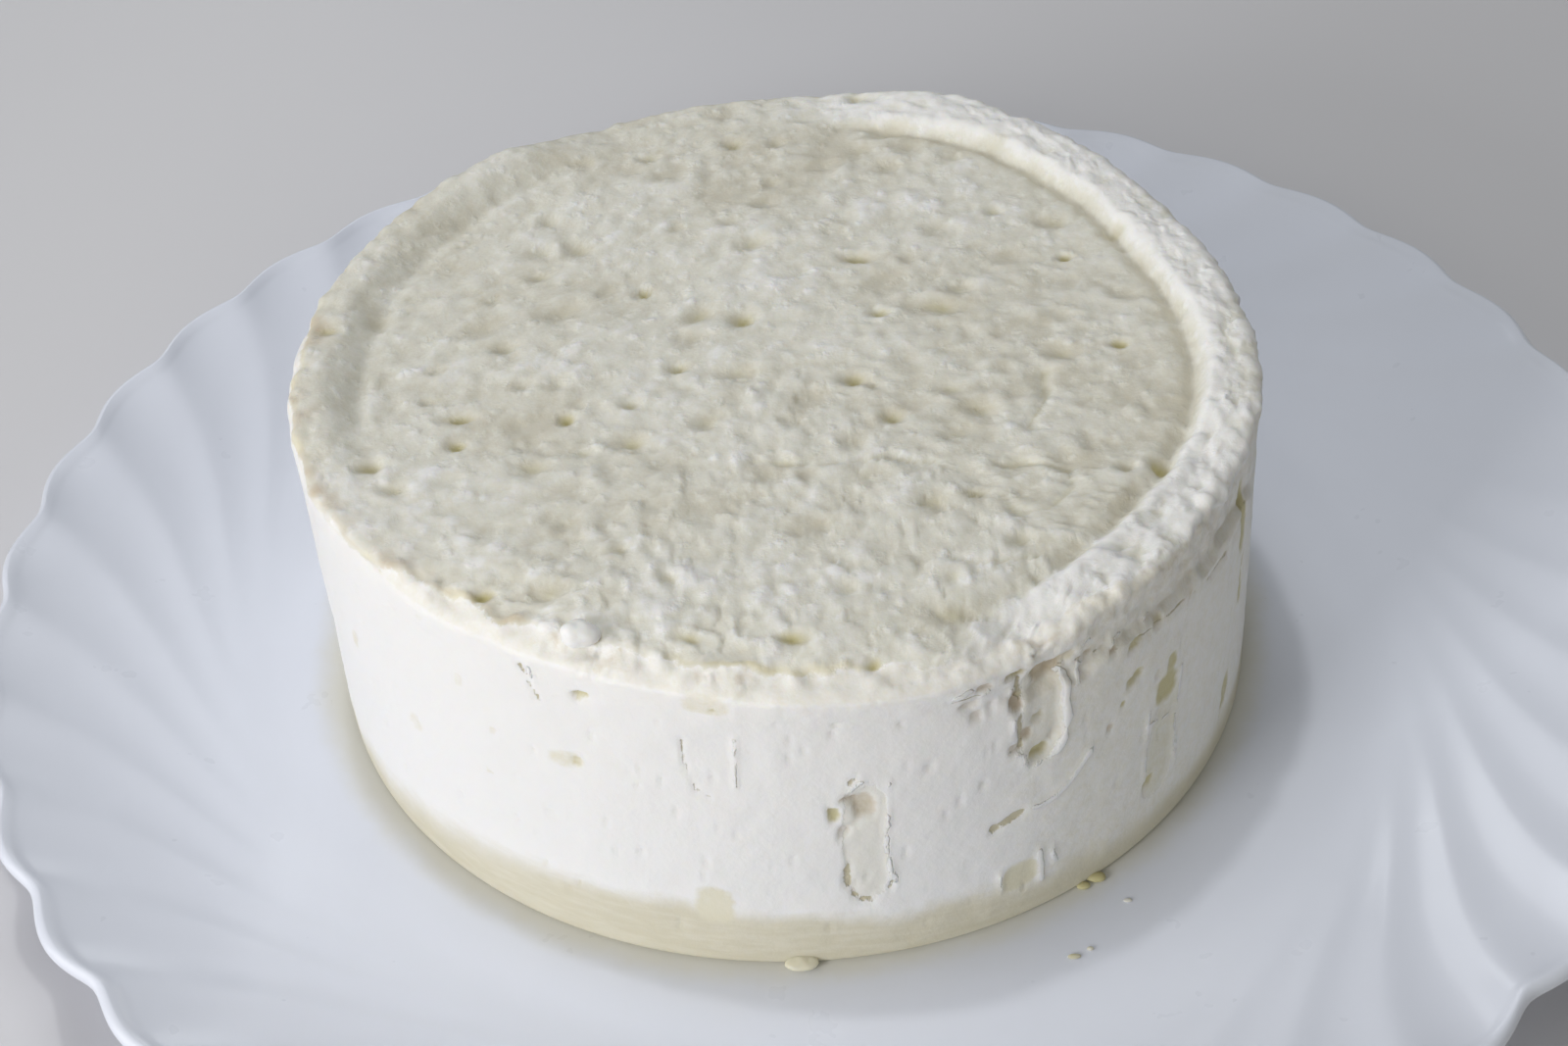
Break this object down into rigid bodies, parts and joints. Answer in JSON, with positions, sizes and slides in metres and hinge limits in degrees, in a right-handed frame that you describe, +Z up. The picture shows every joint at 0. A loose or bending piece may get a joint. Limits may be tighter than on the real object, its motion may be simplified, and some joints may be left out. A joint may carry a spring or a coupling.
{
  "type": "goat cheese on plate",
  "caption": "Round semi-cured goat cheese with a pressed, pitted top standing whole on a white dinner plate with swirled flutes and a scalloped rim.",
  "frame": {"origin": "middle of the plate's foot ring, on the surface that it stands on", "axes": "+Z up out of the plate's well, +X to the viewer's right, -Y towards the viewer"},
  "size_m": [0.2498, 0.2504, 0.0591],
  "materials": {
    "plate": "gloss",
    "cheese": "matte"
  },
  "bodies": {
    "root": {"plate": "plate", "cheese": "cheese"}
  },
  "joints": []
}
